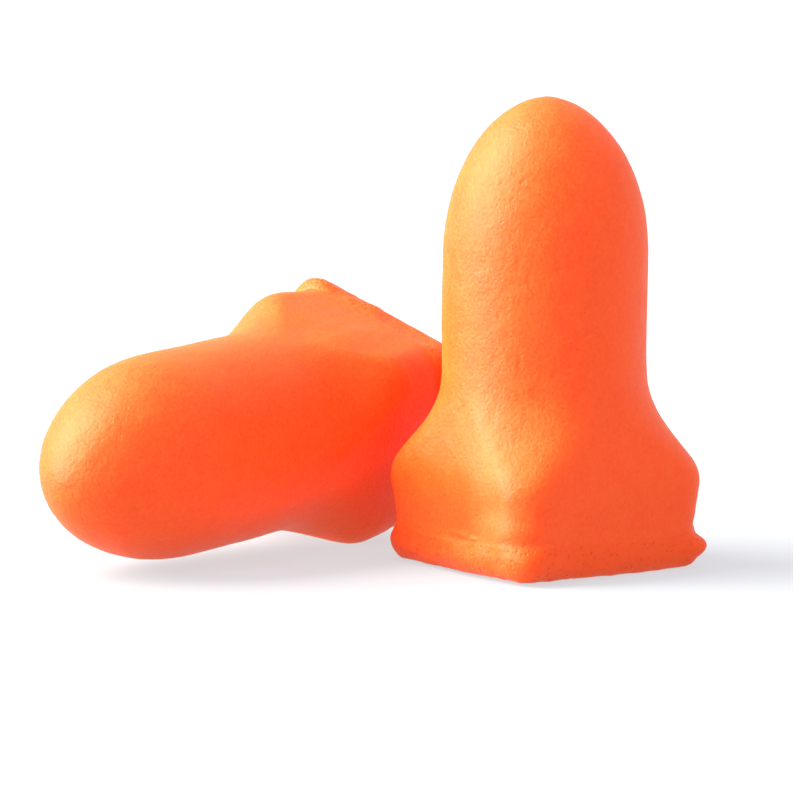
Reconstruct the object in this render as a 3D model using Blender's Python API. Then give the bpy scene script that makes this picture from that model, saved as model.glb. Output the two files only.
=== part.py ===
"""A pair of bell-shaped foam ear plugs, one standing on its base and one lying beside it.

Each plug is a single moulding of slow-recovery foam. A round stem ends in a dome and flares
at the other end into a four-sided base with rounded corners. Below the flare's shoulder the
base draws in to a shallow neck, where the mould closes, and a thin lip spreads under it round
the flat end. The lying plug's flare is squeezed in a little, as soft foam is after handling.

Metres, +Z up. The pair stands on z = 0, and its box is centred on the origin in X and Y.
"""

import math

import bmesh
import bpy
from mathutils import Matrix, Vector

MM = 0.001

# One plug, standing on its base. A "side" is measured from the axis to the middle of one of
# the base's four sides, and a "corner" from the axis to one of its four corners.
LENGTH = 25.7 * MM
STEM_RADIUS = 5.65 * MM
DOME_HEIGHT = 8.7 * MM
DOME_TIP_POWER = 2.1
DOME_WALL_POWER = 1.8
FLARE_TOP = 10.2 * MM
FLARE_HOLLOW = 0.68
SHOULDER_HEIGHT = 5.3 * MM
SHOULDER_SIDE = 6.75 * MM
SHOULDER_CORNER = 8.7 * MM
NECK_HEIGHT = 2.3 * MM
NECK_SIDE = 6.4 * MM
NECK_CORNER = 8.2 * MM
LIP_HEIGHT = 1.1 * MM
LIP_SIDE = 6.5 * MM
LIP_CORNER = 8.6 * MM
LIP_UNDERCUT = 0.9 * MM

# How far each plug's flare stands out from its stem at its sides and at its corners, as shares
# of the sizes above
UPRIGHT_FLARE = (1.0, 1.0)
LYING_FLARE = (0.36, 0.68)

# Where the plugs stand, before the pair is centred. Angles are in degrees.
UPRIGHT_TURN = -7.0
UPRIGHT_BASE = (0.0, 0.0)
LYING_ROLL = 24.5
LYING_TILT = 4.3
LYING_TURN = 52.9
LYING_BASE = (-10.25 * MM, 11.7 * MM)

# How finely the shape is cut into facets
AROUND = 48
LIP_RINGS = 3
NECK_RINGS = 3
SHOULDER_RINGS = 4
FLARE_RINGS = 9
STEM_RINGS = 3
DOME_RINGS = 11

SHARP_ANGLE = math.radians(50)
FOAM_COLOUR = (0.95, 0.13, 0.035, 1.0)
FOAM_ROUGHNESS = 0.7


def smooth(share):
    """From 0 to 1 with no slope at either end."""
    return share * share * (3.0 - 2.0 * share)


def section_radius(angle, side, corner):
    """Radius, at this angle, of a square with rounded corners that lie on the local X and Y axes."""
    corner_centre = (corner - side) / (1.0 - math.cos(math.pi / 4))
    corner_round = corner - corner_centre
    off_corner = abs((angle + math.pi / 4) % (math.pi / 2) - math.pi / 4)
    off_side = math.pi / 4 - off_corner
    if side * math.tan(off_side) <= corner_centre * math.sin(math.pi / 4):
        return side / math.cos(off_side)
    across = corner_centre * math.sin(off_corner)
    return corner_centre * math.cos(off_corner) + math.sqrt(corner_round**2 - across**2)


def flared(height, side, corner, flare):
    """A station of the base, (height, side, corner), with this share of its flare."""
    return (
        height,
        STEM_RADIUS + flare[0] * (side - STEM_RADIUS),
        STEM_RADIUS + flare[1] * (corner - STEM_RADIUS),
    )


def lip_stations(flare):
    """From the flat end up round the lip to where it is widest."""
    found = []
    for ring in range(LIP_RINGS + 1):
        turn = math.pi / 2 * ring / LIP_RINGS
        height = LIP_HEIGHT * (1.0 - math.cos(turn))
        inset = LIP_UNDERCUT * (1.0 - math.sin(turn))
        found.append(flared(height, LIP_SIDE - inset, LIP_CORNER - inset, flare))
    return found


def flare_stations(flare):
    """From just above the lip, in to the neck, out to the shoulder and in to the stem."""
    lip = flared(LIP_HEIGHT, LIP_SIDE, LIP_CORNER, flare)
    neck = flared(NECK_HEIGHT, NECK_SIDE, NECK_CORNER, flare)
    shoulder = flared(SHOULDER_HEIGHT, SHOULDER_SIDE, SHOULDER_CORNER, flare)
    stem = (FLARE_TOP, STEM_RADIUS, STEM_RADIUS)
    spans = [
        (lip, neck, NECK_RINGS, 1.0),
        (neck, shoulder, SHOULDER_RINGS, 1.0),
        (shoulder, stem, FLARE_RINGS, FLARE_HOLLOW),
    ]
    found = []
    for start, end, rings, hollow in spans:
        for ring in range(1, rings + 1):
            along = ring / rings
            blend = smooth(along**hollow)
            height = start[0] + (end[0] - start[0]) * along
            side = start[1] + (end[1] - start[1]) * blend
            corner = start[2] + (end[2] - start[2]) * blend
            found.append((height, side, corner))
    return found


def stem_stations():
    """Up the straight stem and the dome to just below its tip."""
    found = []
    dome_start = LENGTH - DOME_HEIGHT
    for ring in range(1, STEM_RINGS + 1):
        height = FLARE_TOP + (dome_start - FLARE_TOP) * ring / STEM_RINGS
        found.append((height, STEM_RADIUS, STEM_RADIUS))
    for ring in range(1, DOME_RINGS):
        up = math.sin(math.pi / 2 * ring / DOME_RINGS)
        radius = STEM_RADIUS * (1.0 - up**DOME_TIP_POWER) ** (1.0 / DOME_WALL_POWER)
        found.append((dome_start + DOME_HEIGHT * up, radius, radius))
    return found


def ring_of(shape, height, side, corner):
    """One closed ring of vertices round the plug's axis."""
    ring = []
    for step in range(AROUND):
        angle = 2 * math.pi * step / AROUND
        radius = section_radius(angle, side, corner)
        ring.append(shape.verts.new((radius * math.cos(angle), radius * math.sin(angle), height)))
    return ring


def plug_mesh(name, flare):
    """The moulding, flat end down on z = 0 with its axis on Z: a loft from square lip to round tip."""
    shape = bmesh.new()
    stations = lip_stations(flare) + flare_stations(flare) + stem_stations()
    rings = [ring_of(shape, *station) for station in stations]
    tip = shape.verts.new((0.0, 0.0, LENGTH))
    shape.faces.new(reversed(rings[0]))
    for low, high in zip(rings, rings[1:]):
        for step in range(AROUND):
            after = (step + 1) % AROUND
            shape.faces.new((low[step], low[after], high[after], high[step]))
    for step in range(AROUND):
        shape.faces.new((rings[-1][step], rings[-1][(step + 1) % AROUND], tip))
    mesh = bpy.data.meshes.new(name)
    shape.to_mesh(mesh)
    shape.free()
    mesh.shade_smooth()
    mesh.set_sharp_from_angle(angle=SHARP_ANGLE)
    return mesh


def foam():
    """Matt coral-orange polyurethane foam."""
    material = bpy.data.materials.new("orange_foam")
    material.use_nodes = True
    shader = material.node_tree.nodes["Principled BSDF"]
    shader.inputs["Base Color"].default_value = FOAM_COLOUR
    shader.inputs["Roughness"].default_value = FOAM_ROUGHNESS
    shader.inputs["Metallic"].default_value = 0.0
    return material


def lying_rotation():
    """Rolls a standing plug on its axis, lays it down with its tip to -X and a little low, and turns it."""
    roll = Matrix.Rotation(math.radians(LYING_ROLL), 4, "Z")
    lay_down = Matrix.Rotation(math.radians(-90.0 - LYING_TILT), 4, "Y")
    turn = Matrix.Rotation(math.radians(LYING_TURN), 4, "Z")
    return turn @ lay_down @ roll


def add_plug(name, flare, rotation, place, collection):
    """One plug, turned and then set down with its lowest point on the floor."""
    mesh = plug_mesh(name, flare)
    mesh.materials.append(foam())
    lowest = min((rotation @ vertex.co).z for vertex in mesh.vertices)
    plug = bpy.data.objects.new(name, mesh)
    plug.matrix_world = Matrix.Translation((*place, -lowest)) @ rotation
    collection.objects.link(plug)
    return plug


def centre_on_origin(plugs):
    """Moves the pair together so that its box is centred on the origin in X and Y."""
    bpy.context.view_layer.update()
    points = [plug.matrix_world @ vertex.co for plug in plugs for vertex in plug.data.vertices]
    middle = [(min(p[axis] for p in points) + max(p[axis] for p in points)) / 2 for axis in (0, 1)]
    for plug in plugs:
        plug.location -= Vector((*middle, 0.0))


def build():
    for old in list(bpy.data.objects):
        bpy.data.objects.remove(old)
    collection = bpy.data.collections.new("foam_ear_plugs")
    bpy.context.scene.collection.children.link(collection)
    upright_rotation = Matrix.Rotation(math.radians(UPRIGHT_TURN), 4, "Z")
    upright = add_plug("upright_ear_plug", UPRIGHT_FLARE, upright_rotation, UPRIGHT_BASE, collection)
    lying = add_plug("lying_ear_plug", LYING_FLARE, lying_rotation(), LYING_BASE, collection)
    centre_on_origin([upright, lying])


build()
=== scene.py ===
"""The looks of a pair of foam ear plugs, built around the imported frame.

Each plug is one piece of coral-orange slow-recovery foam. Its surface is the same loft as its
solid in the frame, cut finely, and then worked over: broad unevenness, mottled skin, pits,
creases, a flash line where the mould closed, and a ragged lip of open foam round the flat end.
"""
import itertools
import math

import bpy
import numpy as np
from mathutils import Matrix, Vector


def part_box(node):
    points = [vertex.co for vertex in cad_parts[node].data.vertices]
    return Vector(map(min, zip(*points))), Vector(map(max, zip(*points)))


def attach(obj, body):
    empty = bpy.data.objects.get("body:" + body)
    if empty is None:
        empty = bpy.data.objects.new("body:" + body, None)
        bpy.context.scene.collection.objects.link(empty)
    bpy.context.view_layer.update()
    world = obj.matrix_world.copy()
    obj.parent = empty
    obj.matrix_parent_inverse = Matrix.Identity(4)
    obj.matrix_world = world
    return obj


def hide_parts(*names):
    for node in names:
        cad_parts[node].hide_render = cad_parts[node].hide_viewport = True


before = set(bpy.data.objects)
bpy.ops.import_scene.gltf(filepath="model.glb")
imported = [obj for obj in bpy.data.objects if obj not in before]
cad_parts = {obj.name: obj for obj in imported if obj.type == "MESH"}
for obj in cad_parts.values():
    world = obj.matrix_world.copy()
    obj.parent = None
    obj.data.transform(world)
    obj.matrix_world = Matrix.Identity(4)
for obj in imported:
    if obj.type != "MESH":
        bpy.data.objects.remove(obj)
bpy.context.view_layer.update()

MM = 0.001

# The plug's driving dimensions, as in the frame. A "side" is measured from the axis to the middle
# of one of the base's four sides, and a "corner" from the axis to one of its four corners.
LENGTH = 25.7 * MM
STEM_RADIUS = 5.65 * MM
DOME_HEIGHT = 8.7 * MM
DOME_TIP_POWER = 2.1
DOME_WALL_POWER = 1.8
FLARE_TOP = 10.2 * MM
FLARE_HOLLOW = 0.68
SHOULDER_HEIGHT = 5.3 * MM
SHOULDER_SIDE = 6.75 * MM
SHOULDER_CORNER = 8.7 * MM
NECK_HEIGHT = 2.3 * MM
NECK_SIDE = 6.4 * MM
NECK_CORNER = 8.2 * MM
LIP_HEIGHT = 1.1 * MM
LIP_SIDE = 6.5 * MM
LIP_CORNER = 8.6 * MM
LIP_UNDERCUT = 0.9 * MM
UPRIGHT_FLARE = (1.0, 1.0)
LYING_FLARE = (0.36, 0.68)

# How far the shoulder is blurred along the height, and in how many even steps
SOFTENING = 0.7 * MM
SOFTENING_STEPS = 600

# How the plugs are turned, in degrees
UPRIGHT_TURN = -7.0
LYING_ROLL = 24.5
LYING_TILT = 4.3
LYING_TURN = 52.9

# How finely the surface is cut: vertices round the plug, and rings in each stretch of it
AROUND = 400
END_RINGS = 26
LIP_RINGS = 10
NECK_RINGS = 12
SHOULDER_RINGS = 16
FLARE_RINGS = 56
STEM_RINGS = 48
DOME_RINGS = 70

# The camera looks at this point from slightly right of the front
AIM = Vector((1.09, -1.77, 9.07)) * MM
CAMERA_SIDE = 2.37
CAMERA_ELEVATION = 6.37
CAMERA_DISTANCE = 199.6 * MM
LENS = 163.1
SENSOR = 36.0

# A light table under a white studio, with two warm lights from the left: a broad one, and a small
# low one that makes the highlights. A light is (rise, swing to the front, angle across, watts, colour).
FLOOR_HALF = 4.0
FLOOR_COLOUR = (0.13, 0.145, 0.20, 1.0)
FLOOR_GLOW = 0.60
AMBIENT = 1.0
BROAD_LIGHT = (38.0, -2.0, 50.0, 13.5, (1.0, 0.92, 0.60))
LOW_LIGHT = (6.0, 10.0, 7.0, 4.2, (1.0, 0.95, 0.90))


def smooth(share):
    """From 0 to 1 with no slope at either end."""
    share = np.clip(share, 0.0, 1.0)
    return share * share * (3.0 - 2.0 * share)


def mix(start, end, share):
    return start + (end - start) * share


# The plug's form ------------------------------------------------------------------------------


def section_radius(angle, side, corner):
    """Radius at these angles of a square with rounded corners that lie on the local X and Y axes."""
    corner_centre = (corner - side) / (1.0 - math.cos(math.pi / 4))
    corner_round = corner - corner_centre
    off_corner = np.abs((angle + math.pi / 4) % (math.pi / 2) - math.pi / 4)
    off_side = math.pi / 4 - off_corner
    on_side = side * np.tan(off_side) <= corner_centre * math.sin(math.pi / 4)
    across = corner_centre * np.sin(off_corner)
    round_corner = corner_centre * np.cos(off_corner) + np.sqrt(np.maximum(corner_round**2 - across**2, 0))
    return np.where(on_side, side / np.cos(off_side), round_corner)


def span(start, end, rings, hollow=1.0):
    """Stations from just after start to end, each (height, side, corner), easing in and out."""
    along = np.arange(1, rings + 1) / rings
    blend = smooth(along**hollow)
    return [(mix(start[0], end[0], a), *(mix(s, e, b) for s, e in zip(start[1:], end[1:])))
            for a, b in zip(along, blend)]


def softened(found):
    """The same stations with the shoulder, and the hollow above it, blurred along the height."""
    even = np.linspace(LIP_HEIGHT, LENGTH - DOME_HEIGHT, SOFTENING_STEPS)
    spread = SOFTENING / (even[1] - even[0])
    reach = SOFTENING_STEPS // 4
    kernel = np.exp(-0.5 * (np.arange(-reach, reach + 1) / spread) ** 2)
    above = (found[:, 0] > NECK_HEIGHT) & (found[:, 0] < even[-1])
    blend = smooth((found[above, 0] - NECK_HEIGHT) / SOFTENING)
    profile = found[found[:, 0] >= LIP_HEIGHT]
    for column in (1, 2):
        across = np.interp(even, profile[:, 0], profile[:, column])
        padded = np.pad(across, reach, mode="edge")
        blurred = np.convolve(padded, kernel / kernel.sum(), mode="valid")
        found[above, column] = mix(found[above, column], np.interp(found[above, 0], even, blurred), blend)
    return found


def stations(flare):
    """(height, side, corner) of every ring, from the middle of the flat end to just below the tip."""

    def flared(height, side, corner):
        return (height, mix(STEM_RADIUS, side, flare[0]), mix(STEM_RADIUS, corner, flare[1]))

    edge = flared(0.0, LIP_SIDE - LIP_UNDERCUT, LIP_CORNER - LIP_UNDERCUT)
    found = [(0.0, edge[1] * share, edge[2] * share) for share in np.arange(1, END_RINGS + 1) / END_RINGS]
    for turn in math.pi / 2 * np.arange(1, LIP_RINGS + 1) / LIP_RINGS:
        inset = LIP_UNDERCUT * (1.0 - math.sin(turn))
        found.append(flared(LIP_HEIGHT * (1.0 - math.cos(turn)), LIP_SIDE - inset, LIP_CORNER - inset))
    neck = flared(NECK_HEIGHT, NECK_SIDE, NECK_CORNER)
    shoulder = flared(SHOULDER_HEIGHT, SHOULDER_SIDE, SHOULDER_CORNER)
    found += span(found[-1], neck, NECK_RINGS)
    found += span(neck, shoulder, SHOULDER_RINGS)
    found += span(shoulder, (FLARE_TOP, STEM_RADIUS, STEM_RADIUS), FLARE_RINGS, FLARE_HOLLOW)
    dome_start = LENGTH - DOME_HEIGHT
    found += [(h, STEM_RADIUS, STEM_RADIUS) for h in np.linspace(FLARE_TOP, dome_start, STEM_RINGS + 1)[1:]]
    for up in np.sin(math.pi / 2 * np.arange(1, DOME_RINGS) / DOME_RINGS):
        radius = STEM_RADIUS * (1.0 - up**DOME_TIP_POWER) ** (1.0 / DOME_WALL_POWER)
        found.append((dome_start + DOME_HEIGHT * up, radius, radius))
    return softened(np.array(found))


def bare_surface(flare):
    """Points of the undisturbed plug as [ring, step round, xyz], its flat end on z = 0."""
    angle = 2 * math.pi * np.arange(AROUND) / AROUND
    rings = []
    for height, side, corner in stations(flare):
        radius = section_radius(angle, side, max(corner, side * 1.0001))
        rings.append(np.stack([radius * np.cos(angle), radius * np.sin(angle), np.full(AROUND, height)], -1))
    return np.array(rings)


def outward(points):
    """Unit normals of a surface given as [ring, step round, xyz]."""
    round_way = np.roll(points, -1, 1) - np.roll(points, 1, 1)
    up_way = np.gradient(points, axis=0)
    normal = np.cross(round_way, up_way)
    return normal / np.maximum(np.linalg.norm(normal, axis=-1, keepdims=True), 1e-12)


# Unevenness -----------------------------------------------------------------------------------

# Each layer of lumps in the skin: how far across they are, and how far they stand out
SKIN_LUMPS = ((7.0 * MM, 0.10 * MM), (2.6 * MM, 0.035 * MM), (0.9 * MM, 0.016 * MM), (0.4 * MM, 0.010 * MM))
PIT_SPACING = 0.9 * MM
PIT_SIZES = (0.10 * MM, 0.24 * MM)
PIT_SHARE = 0.28
PIT_DEPTH = 0.045 * MM
CREASE_DEPTH = 0.035 * MM
CRINKLE_SIZE = 0.55 * MM
CRINKLE_STRETCH = np.array((1.0, 1.0, 0.45))
CRINKLE_RISE = 0.022 * MM
CRINKLE_SINK = 0.012 * MM

# The flash line runs round the neck, wandering a little, as a fine bead that comes and goes
FLASH_HEIGHT = NECK_HEIGHT * 0.95
FLASH_WANDER = 0.14 * MM
FLASH_HALF_WIDTH = 0.16 * MM
FLASH_FADE = 6.0

# The ragged lip, and the cells that show where the skin is cut away
LIP_REACH = 1.15 * MM
LIP_LUMPS = ((3.2 * MM, 0.22 * MM), (1.1 * MM, 0.07 * MM))
CELL_SPACING = 0.42 * MM
CELL_SIZES = (0.12 * MM, 0.30 * MM)
CELL_SHARE = 0.75
CELL_DEPTH = 0.035 * MM
CELL_LUMPS = (0.5 * MM, 0.025 * MM)

LATTICE = 32
CORNERS = list(itertools.product((0, 1), repeat=3))
NEIGHBOURS = list(itertools.product((-1, 0, 1), repeat=3))


def noise(points, cell, seed):
    """Smooth random values from -1 to 1, in lumps about one cell across."""
    table = np.random.default_rng(seed).uniform(-1.0, 1.0, (LATTICE,) * 3)
    place = points / cell
    low = np.floor(place).astype(int)
    share = smooth(place - low)
    total = np.zeros(points.shape[:-1])
    for corner in CORNERS:
        weight = np.prod(np.where(corner, share, 1.0 - share), axis=-1)
        x, y, z = np.moveaxis((low + corner) % LATTICE, -1, 0)
        total += weight * table[x, y, z]
    return total


def pits(points, cell, smallest, largest, share, seed):
    """Depth from 0 to 1 of round pits scattered through space, in this share of the cells."""
    rng = np.random.default_rng(seed)
    centre = rng.uniform(0.0, 1.0, (LATTICE,) * 3 + (3,))
    radius = rng.uniform(smallest, largest, (LATTICE,) * 3) * (rng.random((LATTICE,) * 3) < share)
    low = np.floor(points / cell).astype(int)
    depth = np.zeros(points.shape[:-1])
    for step in NEIGHBOURS:
        x, y, z = np.moveaxis((low + step) % LATTICE, -1, 0)
        away = np.linalg.norm((low + step + centre[x, y, z]) * cell - points, axis=-1)
        size = np.maximum(radius[x, y, z], 1e-9)
        depth = np.maximum(depth, np.clip(1.0 - (away / size) ** 2, 0.0, 1.0) ** 2)
    return depth


def band(value, middle, half_width):
    """1 at the middle, falling smoothly to 0 at half_width either side."""
    return smooth(1.0 - np.abs(value - middle) / half_width)


def angle_off(angle, middle):
    """How far, in degrees, angles in radians lie from a middle in degrees."""
    return (np.degrees(angle) - middle + 180.0) % 360.0 - 180.0


def crease(points, angle, spot):
    """A short groove down the skin: depth 0 to 1, for a spot (angle, height, half width, half length)."""
    middle, height, half_width, half_length = spot
    across = np.radians(angle_off(angle, middle)) * STEM_RADIUS
    return band(across, 0.0, half_width) * band(points[..., 2], height, half_length)


def open_foam(points):
    """1 on the flat end and its lip, where the skin is cut away, and 0 above the flash line."""
    edge = NECK_HEIGHT * 0.8 + noise(points, 2.5 * MM, 11) * 0.2 * MM
    return smooth((edge - points[..., 2]) / (0.25 * MM) + 0.5)


def worked(bare, seed, creases, crinkles, flash, snags):
    """The surface with its unevenness, all measured in plug coordinates.

    Angles are round the plug's axis, in degrees, and each sort of mark is a list:
    creases   (angle, height, half width, half length)
    crinkles  (middle angle, half angle, lowest height, highest height)
    flash     (middle angle, half angle, how far it stands out)
    snags     (middle angle, half angle, middle height, half height, how far it stands out)
    """
    angle = np.arctan2(bare[..., 1], bare[..., 0])
    height = bare[..., 2]
    shifted = bare + seed * 7.3 * MM
    raw = open_foam(bare)
    out = np.zeros(height.shape)
    for layer, (across, rise) in enumerate(SKIN_LUMPS):
        out += noise(shifted, across, seed + layer) * rise
    out -= pits(shifted, PIT_SPACING, *PIT_SIZES, PIT_SHARE, seed + 4) * PIT_DEPTH * (1.0 - raw)
    for spot in creases:
        out -= crease(bare, angle, spot) * CREASE_DEPTH
    for middle, half_angle, low, high in crinkles:
        where = band(angle_off(angle, middle), 0.0, half_angle)
        where *= band(height, (low + high) / 2, (high - low) / 2)
        wrinkle = noise(shifted * CRINKLE_STRETCH, CRINKLE_SIZE, seed + 5)
        out += where * (wrinkle * CRINKLE_RISE - np.abs(wrinkle) * CRINKLE_SINK)
    for middle, half_angle, size in flash:
        line = FLASH_HEIGHT + noise(shifted, 1.6 * MM, seed + 6) * FLASH_WANDER
        where = smooth((half_angle - np.abs(angle_off(angle, middle))) / FLASH_FADE)
        beads = np.clip(0.35 + 1.3 * noise(shifted, 0.8 * MM, seed + 7), 0.1, 1.2)
        out += where * band(height, line, FLASH_HALF_WIDTH) * size * beads
    on_lip = band(height, LIP_HEIGHT, LIP_REACH)
    for layer, (across, rise) in enumerate(LIP_LUMPS):
        out += on_lip * noise(shifted, across, seed + 8 + layer) * rise
    for middle, half_angle, middle_height, half_height, reach in snags:
        where = band(angle_off(angle, middle), 0.0, half_angle)
        out += where * band(height, middle_height, half_height) * reach
    cells = pits(shifted, CELL_SPACING, *CELL_SIZES, CELL_SHARE, seed + 10)
    out += raw * (noise(shifted, CELL_LUMPS[0], seed + 12) * CELL_LUMPS[1] - cells * CELL_DEPTH)
    return bare + outward(bare) * out[..., None], raw


def plug_object(name, points, raw, rotation, material):
    """A closed mesh over the rings, with a fan at each end, turned into place."""
    rings = len(points)
    flat = points.reshape(-1, 3)
    ends = np.array([points[0].mean(0), [0.0, 0.0, points[-1, :, 2].max() + 0.01 * MM]])
    verts = np.concatenate([flat, ends]) @ np.array(rotation.to_3x3()).T
    step = np.arange(AROUND)
    after = (step + 1) % AROUND
    base = (np.arange(rings - 1) * AROUND)[:, None]
    quads = np.stack([base + step, base + after, base + AROUND + after, base + AROUND + step], -1)
    under, tip = len(flat), len(flat) + 1
    last = (rings - 1) * AROUND
    faces = quads.reshape(-1, 4).tolist()
    faces += [(under, b, a) for a, b in zip(step.tolist(), after.tolist())]
    faces += [(last + a, last + b, tip) for a, b in zip(step.tolist(), after.tolist())]
    mesh = bpy.data.meshes.new(name)
    mesh.from_pydata(verts.tolist(), [], faces)
    openness = mesh.attributes.new("open_foam", "FLOAT", "POINT")
    openness.data.foreach_set("value", np.append(raw.ravel(), (1.0, 0.0)))
    mesh.shade_smooth()
    mesh.materials.append(material)
    plug = bpy.data.objects.new(name, mesh)
    bpy.context.scene.collection.objects.link(plug)
    return plug


def extent(points, rotation):
    """Lowest and highest corners of the points once turned."""
    turned = points.reshape(-1, 3) @ np.array(rotation.to_3x3()).T
    return Vector(turned.min(0)), Vector(turned.max(0))


def make_plug(name, node, body, flare, rotation, material, **details):
    """A finished plug standing exactly where its solid in the frame is."""
    bare = bare_surface(flare)
    low, high = extent(bare, rotation)
    node_low, node_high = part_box(node)
    place = (node_low + node_high - low - high) / 2
    points, raw = worked(bare, **details)
    plug = plug_object(name, points, raw, rotation, material)
    lowest = min(vertex.co.z for vertex in plug.data.vertices)
    plug.data.transform(Matrix.Translation((place.x, place.y, node_low.z - lowest)))
    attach(plug, body)
    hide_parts(node)
    return plug


# Material -------------------------------------------------------------------------------------

SKIN = (0.93, 0.070, 0.006, 1.0)
SKIN_LIGHT = (0.95, 0.102, 0.012, 1.0)
OPEN_CELLS = (0.90, 0.080, 0.005, 1.0)
# Painted shade: a darker orange mixed in where the pores and open cells are, standing in for the shade
# inside them
PAINTED_PORE_SHADE = (0.60, 0.030, 0.003, 1.0)


def foam_material():
    material = bpy.data.materials.new("orange_foam")
    material.use_nodes = True
    nodes, links = material.node_tree.nodes, material.node_tree.links
    shader = nodes["Principled BSDF"]
    place = nodes.new("ShaderNodeTexCoord").outputs["Object"]

    def noise_texture(size, detail, roughness=0.5):
        texture = nodes.new("ShaderNodeTexNoise")
        texture.inputs["Scale"].default_value = 1.0 / size
        texture.inputs["Detail"].default_value = detail
        texture.inputs["Roughness"].default_value = roughness
        links.new(place, texture.inputs["Vector"])
        return texture.outputs["Fac"]

    def cells_texture(size):
        texture = nodes.new("ShaderNodeTexVoronoi")
        texture.inputs["Scale"].default_value = 1.0 / size
        links.new(place, texture.inputs["Vector"])
        return texture.outputs["Distance"]

    def remap(value, low, high, to_low=0.0, to_high=1.0):
        node = nodes.new("ShaderNodeMapRange")
        for key, number in zip(("From Min", "From Max", "To Min", "To Max"), (low, high, to_low, to_high)):
            node.inputs[key].default_value = number
        links.new(value, node.inputs["Value"])
        return node.outputs["Result"]

    def maths(operation, first, second):
        node = nodes.new("ShaderNodeMath")
        node.operation = operation
        for socket, value in zip(node.inputs, (first, second)):
            if isinstance(value, float):
                socket.default_value = value
            else:
                links.new(value, socket)
        return node.outputs["Value"]

    def mix_colour(share, first, second):
        node = nodes.new("ShaderNodeMix")
        node.data_type = "RGBA"
        links.new(share, node.inputs["Factor"])
        for key, value in (("A", first), ("B", second)):
            socket = [s for s in node.inputs if s.name == key and s.type == "RGBA"][0]
            if isinstance(value, tuple):
                socket.default_value = value
            else:
                links.new(value, socket)
        return [s for s in node.outputs if s.type == "RGBA"][0]

    raw = nodes.new("ShaderNodeAttribute")
    raw.attribute_name = "open_foam"
    raw = raw.outputs["Fac"]
    mottle = noise_texture(1.3 * MM, 4.0, 0.6)
    grain = noise_texture(0.20 * MM, 4.0, 0.65)
    pores = cells_texture(0.30 * MM)
    rare = noise_texture(0.9 * MM, 1.0)

    patches = maths("ADD", maths("MULTIPLY", mottle, 0.4), grain)
    colour = mix_colour(remap(patches, 0.50, 0.90), SKIN, SKIN_LIGHT)
    colour = mix_colour(maths("MULTIPLY", raw, 0.7), colour, OPEN_CELLS)
    # Painted shade: the middles of scattered pores on the skin are darkened toward the painted pore shade
    pore_shade_speck = maths("MULTIPLY", remap(pores, 0.16, 0.06), remap(rare, 0.52, 0.66))
    colour = mix_colour(maths("MULTIPLY", pore_shade_speck, 0.7), colour, PAINTED_PORE_SHADE)
    # Painted shade: on the cut-away end the middles of the open cells are darkened as if shaded inside
    cell = maths("MULTIPLY", raw, remap(pores, 0.22, 0.06))
    colour = mix_colour(maths("MULTIPLY", cell, 0.5), colour, PAINTED_PORE_SHADE)
    links.new(colour, shader.inputs["Base Color"])

    dents = remap(pores, 0.0, 0.35)
    relief = maths("ADD", maths("MULTIPLY", grain, 0.9), maths("MULTIPLY", dents, 0.25))
    relief = maths("ADD", relief, maths("MULTIPLY", maths("MULTIPLY", raw, dents), 0.9))
    bump = nodes.new("ShaderNodeBump")
    bump.inputs["Strength"].default_value = 0.75
    bump.inputs["Distance"].default_value = 0.07 * MM
    links.new(relief, bump.inputs["Height"])
    links.new(bump.outputs["Normal"], shader.inputs["Normal"])

    links.new(remap(mottle, 0.3, 0.7, 0.42, 0.54), shader.inputs["Roughness"])
    shader.inputs["Metallic"].default_value = 0.0
    shader.inputs["IOR"].default_value = 1.45
    shader.inputs["Specular IOR Level"].default_value = 0.28
    shader.inputs["Subsurface Weight"].default_value = 0.4
    shader.inputs["Subsurface Radius"].default_value = (1.0, 0.45, 0.2)
    shader.inputs["Subsurface Scale"].default_value = 0.5 * MM
    return material


# Stage ----------------------------------------------------------------------------------------


def add_camera():
    camera = bpy.data.objects.new("camera", bpy.data.cameras.new("camera"))
    bpy.context.scene.collection.objects.link(camera)
    bpy.context.scene.camera = camera
    camera.data.lens = LENS
    camera.data.sensor_width = SENSOR
    camera.data.clip_start = 1.0 * MM
    side, up = math.radians(CAMERA_SIDE), math.radians(CAMERA_ELEVATION)
    away = Vector((math.sin(side) * math.cos(up), -math.cos(side) * math.cos(up), math.sin(up)))
    camera.location = AIM + away * CAMERA_DISTANCE
    camera.rotation_euler = (-away).to_track_quat("-Z", "Y").to_euler()


def add_floor():
    mesh = bpy.data.meshes.new("floor")
    corners = [(x * FLOOR_HALF, y * FLOOR_HALF, 0.0) for x, y in ((-1, -1), (1, -1), (1, 1), (-1, 1))]
    mesh.from_pydata(corners, [], [(0, 1, 2, 3)])
    material = bpy.data.materials.new("floor")
    material.use_nodes = True
    shader = material.node_tree.nodes["Principled BSDF"]
    shader.inputs["Base Color"].default_value = FLOOR_COLOUR
    shader.inputs["Roughness"].default_value = 0.9
    shader.inputs["Specular IOR Level"].default_value = 0.0
    shader.inputs["Emission Color"].default_value = (1.0, 1.0, 1.0, 1.0)
    shader.inputs["Emission Strength"].default_value = FLOOR_GLOW
    mesh.materials.append(material)
    floor = bpy.data.objects.new("floor", mesh)
    bpy.context.scene.collection.objects.link(floor)


def add_light(name, rise, swing, across, watts, colour):
    light = bpy.data.lights.new(name, "SUN")
    light.angle = math.radians(across)
    light.energy = watts
    light.color = colour
    lamp = bpy.data.objects.new(name, light)
    bpy.context.scene.collection.objects.link(lamp)
    rise, swing = math.radians(rise), math.radians(swing)
    to_lamp = Vector((-math.cos(swing) * math.cos(rise), -math.sin(swing) * math.cos(rise), math.sin(rise)))
    lamp.rotation_euler = to_lamp.to_track_quat("Z", "Y").to_euler()


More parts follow.
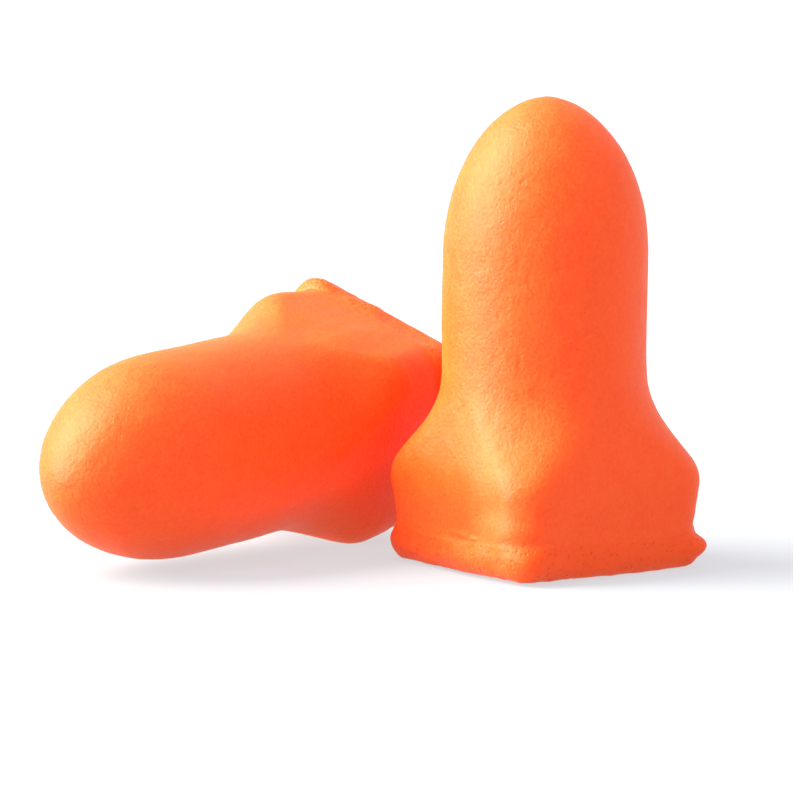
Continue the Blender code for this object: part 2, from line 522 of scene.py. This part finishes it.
def add_lights():
    world = bpy.data.worlds.new("studio")
    world.use_nodes = True
    world.node_tree.nodes["Background"].inputs["Color"].default_value = (1.0, 1.0, 1.0, 1.0)
    world.node_tree.nodes["Background"].inputs["Strength"].default_value = AMBIENT
    bpy.context.scene.world = world
    add_light("broad light", *BROAD_LIGHT)
    add_light("low light", *LOW_LIGHT)


# The scene ------------------------------------------------------------------------------------


def turned(degrees, axis):
    return Matrix.Rotation(math.radians(degrees), 4, axis)


add_camera()
foam = foam_material()
make_plug(
    "upright_foam_plug", "upright_ear_plug", "standing_plug", UPRIGHT_FLARE, turned(UPRIGHT_TURN, "Z"), foam,
    seed=3,
    creases=[(262.0, 16.8 * MM, 0.24 * MM, 0.55 * MM), (268.0, 16.0 * MM, 0.22 * MM, 0.45 * MM),
             (263.0, 11.6 * MM, 0.20 * MM, 0.5 * MM)],
    crinkles=[(235.0, 30.0, 5.5 * MM, 11.0 * MM)],
    flash=[(210.0, 42.0, 0.13 * MM), (40.0, 60.0, 0.06 * MM)],
    snags=[(0.0, 12.0, 1.1 * MM, 0.75 * MM, 0.40 * MM), (263.0, 34.0, 2.4 * MM, 1.6 * MM, 0.28 * MM),
           (266.0, 26.0, 6.8 * MM, 4.2 * MM, -0.22 * MM)],
)
make_plug(
    "lying_foam_plug", "lying_ear_plug", "lying_plug", LYING_FLARE,
    turned(LYING_TURN, "Z") @ turned(-90.0 - LYING_TILT, "Y") @ turned(LYING_ROLL, "Z"), foam,
    seed=29,
    creases=[(110.0, 14.0 * MM, 0.12 * MM, 0.6 * MM)],
    crinkles=[(80.0, 30.0, 5.5 * MM, 9.0 * MM)],
    flash=[(10.0, 70.0, 0.08 * MM)],
    snags=[(0.0, 26.0, 1.1 * MM, 1.1 * MM, 0.35 * MM), (180.0, 40.0, 1.1 * MM, 1.8 * MM, -0.30 * MM),
           (270.0, 36.0, 6.0 * MM, 5.0 * MM, -0.45 * MM)],
)
add_floor()
add_lights()
bpy.context.scene.view_settings.view_transform = "Standard"
